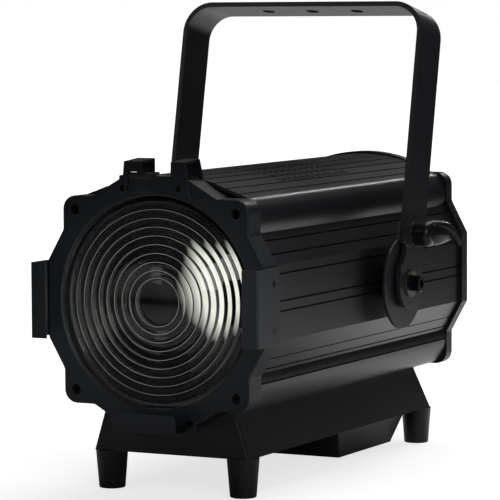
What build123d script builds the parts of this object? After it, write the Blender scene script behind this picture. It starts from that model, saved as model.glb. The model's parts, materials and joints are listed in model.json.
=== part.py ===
# A theatre fresnel spotlight: lobed front bezel and lens, extruded body with a zoom train inside,
# rear cover with controls and sockets, a base on four feet, and a yoke clamped by two levers.
# Millimetres. The floor is z = 0 and the lens faces -Y, so depths grow rearward, towards +Y.
# Depths are measured from the bezel's front face and heights from the optical axis.
# Right is +X, as seen from the front.
from build123d import *
import os
from math import sin, cos, radians, sqrt

os.makedirs("parts", exist_ok=True)

# ---------------------------------------------------------------- driving dimensions
AXIS_Z = 183.0          # height of the optical axis above the floor
BEZEL_Y = -231.0        # front face of the bezel

APERTURE_R = 100.0      # clear lens opening
BEZEL_T = 25.0
FLAT = 115.0            # bezel flats from the axis
FLAT_HALF = 37.0        # half length of each flat
LOBE = 98.2             # outer sides of the corner lobes
LOBE_IN = 66.0          # inner ends of the lobe sides
CORNER = 85.0           # corner screw centres, square pattern

BODY_FRONT = 25.0
BODY_REAR = 458.0
BODY_SIDE = 110.0
BODY_CROWN = 118.5
BODY_BOTTOM = -110.0
WALL = 3.0              # body wall at the crown
COVER_REAR = 473.0
SOCKET_REAR = 486.0

PIVOT_Y = 280.0         # yoke pivot
YOKE_TILT = 11.8        # degrees the yoke leans back
YOKE_HALF = 134.5       # outer face of the yoke legs
BAR_T = 5.0
BAR_W = 50.0
YOKE_TOP = 280.0        # crossbar top above the pivot
BEND_R = 31.0
LEG_IN = YOKE_HALF - BAR_T

DISC_R = 45.5
DISC_X = 124.5
DISC_T = 3.0
DISC_FACE = DISC_X + DISC_T
BOLT_R = 5.0
LEVER_UP = 50.0         # lever axis above the pivot, along the leg
STUD_R = 4.0
WASHER_T = 2.0
OUTER_X = YOKE_HALF + WASHER_T + 0.1    # inner faces of the bolt heads and levers

PLINTH_BOTTOM = -146.0
COWL_BOTTOM = -178.0

ROD_X = 84.0
ROD_R = 5.0
SCREW_Z = -72.0         # lead screw height
CARRIAGE_Y = 200.0      # front face of the zoom carriage


# ---------------------------------------------------------------- planes and helpers
def front(y):
    """Plane across the object at depth y, drawn x right and z up; its normal points forward."""
    return Plane(origin=(0, BEZEL_Y + y, AXIS_Z), x_dir=(1, 0, 0), z_dir=(0, -1, 0))


def side(x):
    """Plane along the object at x, drawn y right and z up, normal to +X."""
    return Plane(origin=(x, BEZEL_Y, AXIS_Z), x_dir=(0, 1, 0), z_dir=(1, 0, 0))


def level(z):
    """Horizontal plane at height z from the optical axis, drawn x right and y up."""
    return Plane(origin=(0, BEZEL_Y, AXIS_Z + z), x_dir=(1, 0, 0), z_dir=(0, 0, 1))


# For turned parts: drawn with the radius to the right and minus the depth up.
TURNING = Plane(origin=(0, BEZEL_Y, AXIS_Z), x_dir=(1, 0, 0), z_dir=(0, 0, -1))
OPTICAL_AXIS = Axis((0, BEZEL_Y, AXIS_Z), (0, 1, 0))

TILT_SIN, TILT_COS = sin(radians(YOKE_TILT)), cos(radians(YOKE_TILT))
YOKE_FRONT = Plane(origin=(0, BEZEL_Y + PIVOT_Y, AXIS_Z),
                   x_dir=(1, 0, 0), z_dir=(0, -TILT_COS, TILT_SIN))
CROSSBAR_TOP = Plane(
    origin=(0, BEZEL_Y + PIVOT_Y + YOKE_TOP * TILT_SIN, AXIS_Z + YOKE_TOP * TILT_COS),
    x_dir=(1, 0, 0), z_dir=(0, TILT_SIN, TILT_COS))


def yoke_side(x):
    """Plane along a yoke leg at x, drawn rearward right and along the leg up."""
    return Plane(origin=(x, BEZEL_Y + PIVOT_Y, AXIS_Z),
                 x_dir=(0, TILT_COS, -TILT_SIN), z_dir=(1, 0, 0))


def mirrored(points):
    """The points, then their mirror images across x = 0 in reverse order."""
    return points + [(-x, z) for x, z in reversed(points)]


def at(value, distance):
    """Whether a coordinate lies at this distance from the axis, on either side."""
    return abs(abs(value) - distance) < 0.1


def rims(builder, radius):
    """Circular edges of this radius."""
    circles = builder.edges().filter_by(GeomType.CIRCLE)
    return circles.filter_by(lambda edge: abs(edge.radius - radius) < 0.01)


def save(part, name):
    """Label a part and write its STEP file."""
    part.label = name
    export_step(part, "parts/" + name + ".step")


# ---------------------------------------------------------------- shared fastener patterns
# Corner screws of the bezel and the rear cover
CORNERS = [(CORNER, CORNER), (-CORNER, CORNER), (CORNER, -CORNER), (-CORNER, -CORNER)]
CORNER_HOLE_R = 2.75
CORNER_SHANK_R = 2.45
CORNER_HEAD_R = 4.25
CORNER_HEAD_T = 5.0
COUNTERBORE_R = 5.0
HEX_SOCKET_R = 2.3
HEX_SOCKET_DEPTH = 2.6

# Accessory holder screws, as (y, z) on the sides and (x, y) on the bottom
HOLDER_SCREW_AT = (-22.0, 22.0)
HOLDER_SCREW_Y = 9.0
SIDE_SCREWS = [(HOLDER_SCREW_Y, z) for z in HOLDER_SCREW_AT]
BOTTOM_SCREWS = [(x, HOLDER_SCREW_Y) for x in HOLDER_SCREW_AT]

# Face screws, as (x, z)
LUG_SCREWS = [(-38.5, -110.6), (38.5, -110.6)]
BRACKET_SCREWS = [(-31.2, 106.6), (28.0, 107.0)]

# Four rivets around the pivot, as (y, z)
RIVET_OFFSETS = (-9.5, 9.5)
RIVETS = [(PIVOT_Y + a, b) for a in RIVET_OFFSETS for b in RIVET_OFFSETS]
RIVET_R = 1.9
RIVET_HOLE_R = 2.1
BOLT_HOLE_R = 5.3

# Plinth screws and feet, as (x, y)
PLINTH_SCREWS = [(-30.0, 60.0), (30.0, 60.0), (-30.0, 410.0), (30.0, 410.0)]
PLINTH_HOLE_R = 2.1
FEET = [(x, y) for x in (-70.5, 70.5) for y in (41.0, 437.0)]
WIRING_SLOT_Y = 330.0
WIRING_SLOT = (60.0, 16.0)

# ---------------------------------------------------------------- front bezel and lens
LIP_T = 4.0             # front lip of the bore
LENS_FRONT = 5.0        # front of the lens rim
LENS_REAR = 13.0
LENS_R = 103.8
LENS_BORE_R = 104.2
RING_REAR = 16.0
RING_BORE_R = 111.2
RING_SCREW_CIRCLE = 107.6
RING_SCREWS = 6
RING_SCREW_START = 15   # degrees
PILOT_Y = 110.2         # start of the holder screw holes, from the axis
PILOT_DEPTH = 8.0
HINGE_Y, HINGE_Z = 2.2, 118.0   # rod of the retainer flap

LOBE_CORNER = [(FLAT_HALF, FLAT), (LOBE_IN, LOBE), (LOBE, LOBE), (LOBE, LOBE_IN),
               (FLAT, FLAT_HALF)]
BEZEL_OUTLINE = mirrored(LOBE_CORNER + [(x, -z) for x, z in reversed(LOBE_CORNER)])

with BuildPart() as front_bezel:
    with BuildSketch(front(BEZEL_T)) as outline:
        Polygon(*BEZEL_OUTLINE, align=None)
        fillet([v for v in outline.vertices() if at(v.X, LOBE) and at(v.Y, LOBE)], radius=13.0)
        fillet([v for v in outline.vertices() if at(v.X, LOBE_IN) or at(v.Y, LOBE_IN)],
               radius=8.0)
        fillet([v for v in outline.vertices() if at(v.X, FLAT_HALF) or at(v.Y, FLAT_HALF)],
               radius=4.0)
    extrude(amount=BEZEL_T)
    fillet(front_bezel.faces().sort_by(Axis.Y)[0].outer_wire().edges(), radius=1.6)
    # stepped bore: front lip, lens seat and retaining ring recess
    for bore_r, bore_front in ((APERTURE_R, 0.0), (LENS_BORE_R, LIP_T), (RING_BORE_R, LENS_REAR)):
        with BuildSketch(front(BEZEL_T)):
            Circle(bore_r)
        extrude(amount=BEZEL_T - bore_front, mode=Mode.SUBTRACT)
    chamfer(rims(front_bezel, APERTURE_R).sort_by(Axis.Y)[0], length=1.2)
    with Locations(front(0)):
        with Locations(*CORNERS):
            CounterBoreHole(radius=CORNER_HOLE_R, counter_bore_radius=COUNTERBORE_R,
                            counter_bore_depth=8.0, depth=BEZEL_T)
    # retaining ring screw holes
    with BuildSketch(front(LENS_REAR)):
        with PolarLocations(RING_SCREW_CIRCLE, RING_SCREWS, start_angle=RING_SCREW_START):
            Circle(1.5)
    extrude(amount=6.0, mode=Mode.SUBTRACT)
    # holder screw holes in the two side flats and the bottom flat
    for sign in (-1, 1):
        with BuildSketch(side(sign * PILOT_Y)):
            with Locations(*SIDE_SCREWS):
                Circle(2.0)
        extrude(amount=sign * PILOT_DEPTH, mode=Mode.SUBTRACT)
    with BuildSketch(level(-PILOT_Y)):
        with Locations(*BOTTOM_SCREWS):
            Circle(2.0)
    extrude(amount=-PILOT_DEPTH, mode=Mode.SUBTRACT)
    # recess for the retainer flap and its knuckle
    with BuildSketch(front(2.8)):
        with Locations((-13.75, 109.9)):
            Rectangle(27.5, 13.4)
    extrude(amount=4.0, mode=Mode.SUBTRACT)
    with BuildSketch(side(-27.6)):
        with Locations((HINGE_Y, HINGE_Z)):
            Circle(3.8)
    extrude(amount=27.7, mode=Mode.SUBTRACT)
    # screw holes for the latch bracket and the bottom holder's lugs
    with BuildSketch(front(11.0)):
        with Locations(*BRACKET_SCREWS, *LUG_SCREWS):
            Circle(1.55)
    extrude(amount=11.0, mode=Mode.SUBTRACT)
save(front_bezel.part, "front_bezel")

HEAD_REAR = 8.0         # underside of the bezel screw heads
with BuildPart() as bezel_screws:
    with BuildSketch(front(HEAD_REAR)):
        with Locations(*CORNERS):
            Circle(CORNER_HEAD_R)
    extrude(amount=CORNER_HEAD_T)
    with BuildSketch(front(HEAD_REAR + 30.0)):
        with Locations(*CORNERS):
            Circle(CORNER_SHANK_R)
    extrude(amount=30.0)
    chamfer(rims(bezel_screws, CORNER_HEAD_R).group_by(Axis.Y)[0], length=0.5)
    with BuildSketch(front(HEAD_REAR - CORNER_HEAD_T)):
        with Locations(*CORNERS):
            RegularPolygon(radius=HEX_SOCKET_R, side_count=6)
    extrude(amount=-HEX_SOCKET_DEPTH, mode=Mode.SUBTRACT)
save(bezel_screws.part, "bezel_screws")

with BuildPart() as lens_gasket:
    with BuildSketch(front(LENS_FRONT)):
        Circle(LENS_R)
        Circle(100.3, mode=Mode.SUBTRACT)
    extrude(amount=LENS_FRONT - LIP_T)
save(lens_gasket.part, "lens_gasket")

# Stepped lens front: a central dome inside the first radius, then nine refracting rings.
LENS_STEPS = [22.5, 29.6, 37.4, 45.6, 53.8, 62.0, 70.2, 78.4, 86.6, 94.6]
VALLEY_Y = 8.6          # depth of the groove at every step
RIM_STEP_Y = 5.6        # depth just outside the last step
DOME_Y = 6.4            # depth of the dome's centre

with BuildPart() as fresnel_lens:
    with BuildSketch(TURNING):
        with BuildLine():
            profile = []
            for i, r in enumerate(LENS_STEPS[:-1]):
                profile.append((r, -VALLEY_Y))
                profile.append((r + 0.25, -(6.9 - 0.16 * i)))
            profile += [
                (LENS_STEPS[-1], -VALLEY_Y), (LENS_STEPS[-1] + 0.3, -RIM_STEP_Y),
                (99.6, -RIM_STEP_Y), (99.8, -LENS_FRONT), (LENS_R, -LENS_FRONT),
                (LENS_R, -LENS_REAR), (0.0, -LENS_REAR), (0.0, -DOME_Y),
            ]
            Polyline(*profile)
            ThreePointArc(profile[-1], (12.0, -7.02), profile[0])
        make_face()
    revolve(axis=OPTICAL_AXIS, revolution_arc=360)
save(fresnel_lens.part, "fresnel_lens")

with BuildPart() as lens_retaining_ring:
    with BuildSketch(front(RING_REAR)):
        Circle(110.8)
        Circle(97.5, mode=Mode.SUBTRACT)
        with PolarLocations(RING_SCREW_CIRCLE, RING_SCREWS, start_angle=RING_SCREW_START):
            Circle(1.6, mode=Mode.SUBTRACT)
    extrude(amount=RING_REAR - LENS_REAR)
save(lens_retaining_ring.part, "lens_retaining_ring")

with BuildPart() as lens_ring_screws:
    # rear plane, radius and length of the head, then of the shank
    for rear_y, radius, length in ((RING_REAR + 2.0, 2.6, 2.0), (RING_REAR, 1.45, 8.0)):
        with BuildSketch(front(rear_y)):
            with PolarLocations(RING_SCREW_CIRCLE, RING_SCREWS, start_angle=RING_SCREW_START):
                Circle(radius)
        extrude(amount=length)
save(lens_ring_screws.part, "lens_ring_screws")

# ---------------------------------------------------------------- accessory holders
HOLDER_OUT = 120.0      # outer face from the axis
HOLDER_HOLE_R = 2.1
HEAD_SEAT = 118.8       # inner faces of the screw heads, from the axis
HEAD_SEAT_R = 3.65


def holder_profile(lip):
    """Bent holder profile as (distance from the axis, y); lip is its inner end."""
    return [(lip, -24.0), (118.5, -24.0), (HOLDER_OUT, -22.5), (HOLDER_OUT, 21.0), (115.0, 21.0),
            (115.0, 3.0), (118.0, 3.0), (118.0, -22.0), (lip, -22.0)]


for name, sign in (("right", 1), ("left", -1)):
    with BuildPart() as holder:
        with BuildSketch(level(-35.5)):
            with BuildLine():
                Polyline(*[(sign * x, y) for x, y in holder_profile(103.5)], close=True)
            make_face()
        extrude(amount=71.5)
        # screw holes and the wider seats for their heads
        for start, radius, depth in ((113.0, HOLDER_HOLE_R, 8.0), (HEAD_SEAT, HEAD_SEAT_R, 2.0)):
            with BuildSketch(side(sign * start)):
                with Locations(*SIDE_SCREWS):
                    Circle(radius)
            extrude(amount=sign * depth, mode=Mode.SUBTRACT)
    save(holder.part, "accessory_holder_" + name)

BOTTOM_HALF = 33.5      # half width of the bottom holder, without its lugs
# Right lug as (x, z)
LUG_OUTLINE = [(BOTTOM_HALF, -120.0), (43.5, -120.0), (43.5, -108.0), (41.0, -105.5),
               (36.0, -105.5), (BOTTOM_HALF, -108.0)]

with BuildPart() as accessory_holder_bottom:
    with BuildSketch(side(-BOTTOM_HALF)):
        Polygon(*[(y, -out) for out, y in holder_profile(101.4)], align=None)
    extrude(amount=2 * BOTTOM_HALF)
    fillet(accessory_holder_bottom.edges().filter_by(Axis.Y).group_by(Axis.Z)[-1], radius=5.0)
    # lugs bent up against the bezel face at both ends
    for sign in (-1, 1):
        with BuildSketch(front(0.0)):
            Polygon(*[(sign * x, z) for x, z in LUG_OUTLINE], align=None)
        extrude(amount=2.5)
        with BuildSketch(level(-HOLDER_OUT)):
            with Locations((sign * 37.0, 4.0)):
                Rectangle(13.0, 13.0)
        extrude(amount=2.0)
        with BuildSketch(front(1.0)):
            with Locations((sign * 38.5, -110.6)):
                Circle(1.7)
        extrude(amount=5.0, mode=Mode.SUBTRACT)
    for start, radius, depth in ((113.0, HOLDER_HOLE_R, 8.0), (HEAD_SEAT, HEAD_SEAT_R, 2.0)):
        with BuildSketch(level(-start)):
            with Locations(*BOTTOM_SCREWS):
                Circle(radius)
        extrude(amount=-depth, mode=Mode.SUBTRACT)
save(accessory_holder_bottom.part, "accessory_holder_bottom")

# Inner end from the axis, radius and length of the head, then of the shank
HOLDER_SCREW = ((HEAD_SEAT, 3.6, 1.15), (110.4, 1.9, 8.6))

with BuildPart() as holder_screws:
    for sign in (-1, 1):
        for start, radius, length in HOLDER_SCREW:
            with BuildSketch(side(sign * start)):
                with Locations(*SIDE_SCREWS):
                    Circle(radius)
            extrude(amount=sign * length)
    for start, radius, length in HOLDER_SCREW:
        with BuildSketch(level(-start)):
            with Locations(*BOTTOM_SCREWS):
                Circle(radius)
        extrude(amount=-length)
    # the lug screws, head then shank
    for rear_y, radius, length in ((-2.5, 2.9, 2.0), (9.0, 1.5, 11.5)):
        with BuildSketch(front(rear_y)):
            with Locations(*LUG_SCREWS):
                Circle(radius)
        extrude(amount=length)
save(holder_screws.part, "holder_screws")

# ---------------------------------------------------------------- top latch bracket and flap
# Right and left parts of the front plate, as (x, z)
PLATE_RIGHT = [(-0.5, 96.0), (40.2, 96.0), (36.4, 118.0), (34.0, 131.6), (19.3, 131.6),
               (19.3, 118.6), (2.5, 118.6), (-0.5, 115.6)]
PLATE_LEFT = [(-38.4, 96.0), (-27.2, 96.0), (-27.2, 121.9), (-11.9, 121.9), (-11.9, 131.6),
              (-30.2, 131.6), (-31.4, 119.0), (-35.0, 118.4)]
# Strap and its rear leg, as (y, z)
STRAP_PROFILE = [(-2.5, 129.2), (-2.5, 131.6), (24.5, 133.6), (24.5, FLAT), (22.2, FLAT),
                 (22.2, 131.0), (0.0, 129.3)]

with BuildPart() as latch_bracket:
    # front plate with its arched lower edge and the flap window
    with BuildSketch(front(0.0)):
        Polygon(*PLATE_RIGHT, align=None)
        Polygon(*PLATE_LEFT, align=None)
        Circle(105.6, mode=Mode.SUBTRACT)
    extrude(amount=2.5)
    # two straps running back over the bezel to the rear legs
    for left_x, right_x in ((-30.2, -11.9), (19.3, 34.0)):
        with BuildSketch(side(left_x)):
            Polygon(*STRAP_PROFILE, align=None)
        extrude(amount=right_x - left_x)
    # floor tying both straps together on the bezel's top flat
    with BuildSketch(level(FLAT)):
        with Locations((2.0, 17.25)):
            Rectangle(66.0, 14.5)
    extrude(amount=2.2)
    # sloping web to the right of the right rear leg
    with BuildSketch(front(24.5)):
        Polygon((34.0, FLAT), (39.8, FLAT), (35.6, 133.6), (34.0, 133.6), align=None)
    extrude(amount=2.3)
    # lugs for the flap rod
    for left_x in (-30.2, 0.4):
        with BuildSketch(side(left_x)):
            Polygon((-2.5, FLAT), (6.2, FLAT), (6.2, 121.9), (-2.5, 121.9), align=None)
            with Locations((HINGE_Y, HINGE_Z)):
                Circle(2.05, mode=Mode.SUBTRACT)
        extrude(amount=2.6)
    with BuildSketch(front(1.0)):
        with Locations(*BRACKET_SCREWS):
            Circle(1.7)
    extrude(amount=5.0, mode=Mode.SUBTRACT)
save(latch_bracket.part, "latch_bracket")

BRACKET_HEAD_R = 2.8
with BuildPart() as latch_bracket_screws:
    for rear_y, radius, length in ((-2.5, BRACKET_HEAD_R, 1.8), (9.0, 1.5, 11.5)):
        with BuildSketch(front(rear_y)):
            with Locations(*BRACKET_SCREWS):
                Circle(radius)
        extrude(amount=length)
    chamfer(rims(latch_bracket_screws, BRACKET_HEAD_R).group_by(Axis.Y)[0], length=0.7)
    # cross recesses
    with BuildSketch(front(-4.3)):
        with Locations(*BRACKET_SCREWS):
            Rectangle(3.2, 0.8)
            Rectangle(0.8, 3.2)
    extrude(amount=-1.0, mode=Mode.SUBTRACT)
save(latch_bracket_screws.part, "latch_bracket_screws")

with BuildPart() as flap_rod:
    # the rod, then its slightly wider left end
    for left_x, radius, length in ((-31.2, 2.0, 50.0), (-32.2, 2.15, 1.2)):
        with BuildSketch(side(left_x)):
            with Locations((HINGE_Y, HINGE_Z)):
                Circle(radius)
        extrude(amount=length)
save(flap_rod.part, "flap_rod")

with BuildPart() as retainer_flap:
    with BuildSketch(side(-26.9)):
        with Locations((HINGE_Y, HINGE_Z)):
            Circle(3.3)
        Polygon((0.3, 104.2), (2.3, 104.2), (2.3, HINGE_Z), (0.3, HINGE_Z), align=None)
        with Locations((HINGE_Y, HINGE_Z)):
            Circle(2.05, mode=Mode.SUBTRACT)
    extrude(amount=26.1)
save(retainer_flap.part, "retainer_flap")

# ---------------------------------------------------------------- extruded body
BODY_LENGTH = BODY_REAR - BODY_FRONT
CROWN_HALF = 50.0       # half width of the crown arc and of the flat bottom
CROWN_EDGE_Z = 111.2
ROOF_HALF = 83.0        # outer ends of the sloping roof and floor panels
ROOF_EDGE_Z = 99.3
CROWN_RISE = BODY_CROWN - CROWN_EDGE_Z
CROWN_R = (CROWN_HALF ** 2 + CROWN_RISE ** 2) / (2 * CROWN_RISE)

# Groove centres of the extrusion, right side
GROOVE_R = 0.8
TOP_GROOVES_X = [11.0, 24.0, 37.0, 50.0, 63.0, 76.0]
SLANT_GROOVES = [(104.6, 46.0), (97.5, 58.2), (101.3, -51.6), (95.6, -61.5), (94.9, -74.5)]
SIDE_GROOVES_Z = [28.0, 2.5, -7.0]

# Inside of the body below its crown arc, right half as (x, z)
BODY_BORE = [(49.5, 108.1), (78.0, 97.8), (78.0, 78.0), (91.0, 63.2), (107.0, 35.9),
             (107.0, -33.7), (91.0, -62.6), (78.0, -78.0), (78.0, -97.8), (49.5, -107.0)]

# Staggered vent slots in the crown
VENT_ROWS = 13
VENT_ROW_PITCH = 9.6
VENT_PITCH = 13.0
VENT_FRONT = 146.0


def roof_z(x):
    """Height of the roof surface at x: the crown arc, then the sloping panel."""
    if x <= CROWN_HALF:
        return BODY_CROWN - CROWN_R + sqrt(CROWN_R ** 2 - x ** 2)
    slope = (CROWN_EDGE_Z - ROOF_EDGE_Z) / (ROOF_HALF - CROWN_HALF)
    return CROWN_EDGE_Z - (x - CROWN_HALF) * slope


grooves = [(x, roof_z(x)) for x in TOP_GROOVES_X] + SLANT_GROOVES
grooves += [(BODY_SIDE, z) for z in SIDE_GROOVES_Z]

with BuildPart() as body_shell:
    with BuildSketch(front(BODY_REAR)):
        with BuildLine():
            ThreePointArc((-CROWN_HALF, CROWN_EDGE_Z), (0.0, BODY_CROWN),
                          (CROWN_HALF, CROWN_EDGE_Z))
            Line((CROWN_HALF, CROWN_EDGE_Z), (ROOF_HALF, ROOF_EDGE_Z))
            ThreePointArc((ROOF_HALF, ROOF_EDGE_Z), (86.4, 97.4), (88.9, 94.4))
            ThreePointArc((88.9, 94.4), (94.9, 80.5), (93.3, 65.6))
            Polyline((93.3, 65.6), (BODY_SIDE, 36.7), (BODY_SIDE, -34.5), (93.3, -65.0))
            ThreePointArc((93.3, -65.0), (94.9, -80.5), (86.4, -97.2))
            Polyline(*mirrored([(86.4, -97.2), (ROOF_HALF, -ROOF_EDGE_Z),
                                (CROWN_HALF, BODY_BOTTOM)]))
            ThreePointArc((-86.4, -97.2), (-94.9, -80.5), (-93.3, -65.0))
            Polyline((-93.3, -65.0), (-BODY_SIDE, -34.5), (-BODY_SIDE, 36.7), (-93.3, 65.6))
            ThreePointArc((-93.3, 65.6), (-94.9, 80.5), (-88.9, 94.4))
            ThreePointArc((-88.9, 94.4), (-86.4, 97.4), (-ROOF_HALF, ROOF_EDGE_Z))
            Line((-ROOF_HALF, ROOF_EDGE_Z), (-CROWN_HALF, CROWN_EDGE_Z))
        make_face()
        with Locations(*mirrored(grooves)):
            Circle(GROOVE_R, mode=Mode.SUBTRACT)
    extrude(amount=BODY_LENGTH)
    with BuildSketch(front(BODY_REAR)):
        with BuildLine():
            ThreePointArc((-49.5, 108.1), (0.0, BODY_CROWN - WALL), (49.5, 108.1))
            Polyline(*mirrored(BODY_BORE))
        make_face()
    extrude(amount=BODY_LENGTH, mode=Mode.SUBTRACT)
    # corner screw holes at both ends
    for y in (BODY_FRONT + 20.0, BODY_REAR):
        with BuildSketch(front(y)):
            with Locations(*CORNERS):
                Circle(2.5)
        extrude(amount=20.0, mode=Mode.SUBTRACT)
    # slanted vents: odd rows hold one slot less and start half a pitch further back
    with BuildSketch(level(121.0)):
        for row in range(VENT_ROWS):
            x = VENT_ROW_PITCH * (row - VENT_ROWS // 2)
            odd = row % 2
            row_front = VENT_FRONT + odd * VENT_PITCH / 2
            with Locations(*[(x, row_front + VENT_PITCH * i) for i in range(12 - odd)]):
                SlotOverall(10.5, 3.0, rotation=52)
    extrude(amount=-20.0, mode=Mode.SUBTRACT)
    # pivot bolt and rivet holes through both sides
    for sign in (-1, 1):
        with BuildSketch(side(sign * 104.0)):
            with Locations((PIVOT_Y, 0.0)):
                Circle(BOLT_HOLE_R)
            with Locations(*RIVETS):
                Circle(RIVET_HOLE_R)
        extrude(amount=sign * 10.0, mode=Mode.SUBTRACT)
    # screw holes for the plinth, and the wiring slot
    with BuildSketch(level(-112.0)):
        with Locations((0.0, WIRING_SLOT_Y)):
            SlotOverall(*WIRING_SLOT)
        with Locations(*PLINTH_SCREWS):
            Circle(PLINTH_HOLE_R)
    extrude(amount=8.0, mode=Mode.SUBTRACT)
save(body_shell.part, "body_shell")

# Thin light tunnel: a short collar behind the lens, then a cone narrowing rearward; (radius, y)
TUNNEL_PROFILE = [(97.0, 27.0), (98.5, 27.0), (98.5, 34.0), (49.5, 118.0), (48.0, 118.0),
                  (97.0, 33.6)]
with BuildPart() as light_tunnel:
    with BuildSketch(level(0.0)):
        Polygon(*TUNNEL_PROFILE, align=None)
    revolve(axis=OPTICAL_AXIS)
save(light_tunnel.part, "light_tunnel")

# ---------------------------------------------------------------- rear cover
COVER_T = COVER_REAR - BODY_REAR
COVER_WALL = 3.0
COVER_CUT = 6.0         # depth of cuts from the rear face
COVER_FLAT = 113.8      # side flats from the axis
COVER_LOBE = 96.2       # outer sides of the corner lobes
# Outline and hollow below their crown arcs, right halves as (x, z)
COVER_OUTLINE = [(50.0, 112.6), (72.0, 100.2), (COVER_LOBE, 100.2), (COVER_LOBE, 70.5),
                 (COVER_FLAT, 37.0), (COVER_FLAT, -35.0), (COVER_LOBE, -67.0),
                 (COVER_LOBE, -101.5), (60.0, -101.5), (FLAT_HALF, -FLAT)]
COVER_HOLLOW = [(49.0, 107.5), (76.0, 96.5), (76.0, 76.0), (90.0, 62.0), (106.0, 35.9),
                (106.0, -33.7), (90.0, -62.0), (76.0, -76.0), (76.0, -96.5), (49.0, -106.0)]

PANEL_Z = 46.0
EYE_Z = 92.0
SOCKET_Z = -66.0
POWER_SOCKETS = (("power_inlet", -60.0), ("power_outlet", -22.0))
DATA_SOCKETS = [(22.0, SOCKET_Z), (60.0, SOCKET_Z)]
SOCKETS = [(x, SOCKET_Z) for name, x in POWER_SOCKETS] + DATA_SOCKETS

with BuildPart() as rear_cover:
    with BuildSketch(front(COVER_REAR)) as outline:
        with BuildLine():
            ThreePointArc((-50.0, 112.6), (0.0, 121.0), (50.0, 112.6))
            Polyline(*mirrored(COVER_OUTLINE))
        make_face()
        fillet([v for v in outline.vertices() if at(v.X, COVER_LOBE) and abs(v.Y) > 99.0],
               radius=13.0)
        fillet([v for v in outline.vertices()
                if (at(v.X, 72.0) and v.Y > 0)
                or (at(v.X, COVER_LOBE) and 60.0 < abs(v.Y) < 75.0)
                or at(v.X, 60.0)], radius=6.0)
        fillet([v for v in outline.vertices() if at(v.X, COVER_FLAT) or at(v.X, FLAT_HALF)],
               radius=3.0)
    extrude(amount=COVER_T)
    fillet(rear_cover.faces().sort_by(Axis.Y)[-1].outer_wire().edges(), radius=1.6)
    # hollow from the body side, leaving the corner bosses
    with BuildSketch(front(COVER_REAR - COVER_WALL)):
        with BuildLine():
            ThreePointArc((-49.0, 107.5), (0.0, 115.5), (49.0, 107.5))
            Polyline(*mirrored(COVER_HOLLOW))
        make_face()
    extrude(amount=COVER_T - COVER_WALL, mode=Mode.SUBTRACT)
    # counterbored corner holes
    for radius, depth in ((CORNER_HOLE_R, COVER_T), (COUNTERBORE_R, COVER_CUT)):
        with BuildSketch(front(COVER_REAR)):
            with Locations(*CORNERS):
                Circle(radius)
        extrude(amount=depth, mode=Mode.SUBTRACT)
    # exhaust slots
    with BuildSketch(front(COVER_REAR)):
        with Locations(*[(x, -14.0) for x in range(-78, 79, 12)]):
            SlotOverall(34.0, 5.0, rotation=90)
    extrude(amount=COVER_CUT, mode=Mode.SUBTRACT)
    # panel window, socket holes, eye hole
    with BuildSketch(front(COVER_REAR)):
        with Locations((0.0, PANEL_Z)):
            Rectangle(96.0, 50.0)
        with Locations(*SOCKETS):
            Circle(12.2)
        with Locations((0.0, EYE_Z)):
            Circle(4.1)
    extrude(amount=COVER_CUT, mode=Mode.SUBTRACT)
save(rear_cover.part, "rear_cover")

COVER_HEAD_REAR = 472.0
with BuildPart() as rear_cover_screws:
    with BuildSketch(front(COVER_HEAD_REAR)):
        with Locations(*CORNERS):
            Circle(CORNER_HEAD_R)
    extrude(amount=CORNER_HEAD_T)
    with BuildSketch(front(COVER_HEAD_REAR - CORNER_HEAD_T)):
        with Locations(*CORNERS):
            Circle(CORNER_SHANK_R)
    extrude(amount=28.0)
    with BuildSketch(front(COVER_HEAD_REAR)):
        with Locations(*CORNERS):
            RegularPolygon(radius=HEX_SOCKET_R, side_count=6)
    extrude(amount=HEX_SOCKET_DEPTH, mode=Mode.SUBTRACT)
save(rear_cover_screws.part, "rear_cover_screws")

# ---------------------------------------------------------------- control panel and keys
FLANGE_T = 2.0          # panel and socket flanges on the cover
FLANGE_REAR = COVER_REAR + FLANGE_T
DISPLAY_Z = 55.0
KEY_Z = 30.0
KEYS = (("menu", -33.0), ("up", -11.0), ("down", 11.0), ("enter", 33.0))

with BuildPart() as control_panel:
    with BuildSketch(front(FLANGE_REAR)):
        with Locations((0.0, PANEL_Z)):
            RectangleRounded(108.0, 62.0, 5.0)
    extrude(amount=FLANGE_T)
    with BuildSketch(front(COVER_REAR)):
        with Locations((0.0, PANEL_Z)):
            Rectangle(95.6, 49.6)
    extrude(amount=4.0)
    with BuildSketch(front(FLANGE_REAR)):
        with Locations((0.0, DISPLAY_Z)):
            Rectangle(60.0, 22.0)
    extrude(amount=3.0, mode=Mode.SUBTRACT)
    with BuildSketch(front(FLANGE_REAR)):
        with Locations(*[(x, KEY_Z) for key, x in KEYS]):
            Circle(4.6)
    extrude(amount=6.0, mode=Mode.SUBTRACT)
save(control_panel.part, "control_panel")

with BuildPart() as display_window:
    with BuildSketch(front(474.4)):
        with Locations((0.0, DISPLAY_Z)):
            Rectangle(59.8, 21.8)
    extrude(amount=2.4)
save(display_window.part, "display_window")

KEY_REAR = 477.0
KEY_LENGTH = 9.0
for key, x in KEYS:
    with BuildPart() as button:
        with BuildSketch(front(KEY_REAR)):
            with Locations((x, KEY_Z)):
                Circle(4.5)
        extrude(amount=KEY_LENGTH)
        fillet(button.edges().filter_by(GeomType.CIRCLE).sort_by(Axis.Y)[-1], radius=0.9)
        # wider flange inside the panel
        with BuildSketch(front(KEY_REAR - KEY_LENGTH)):
            with Locations((x, KEY_Z)):
                Circle(6.0)
        extrude(amount=1.2)
    save(button.part, "button_" + key)

# ---------------------------------------------------------------- sockets and safety eye
SOCKET_FLANGE = (26.0, 31.0, 2.5)       # width, height, corner radius

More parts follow.
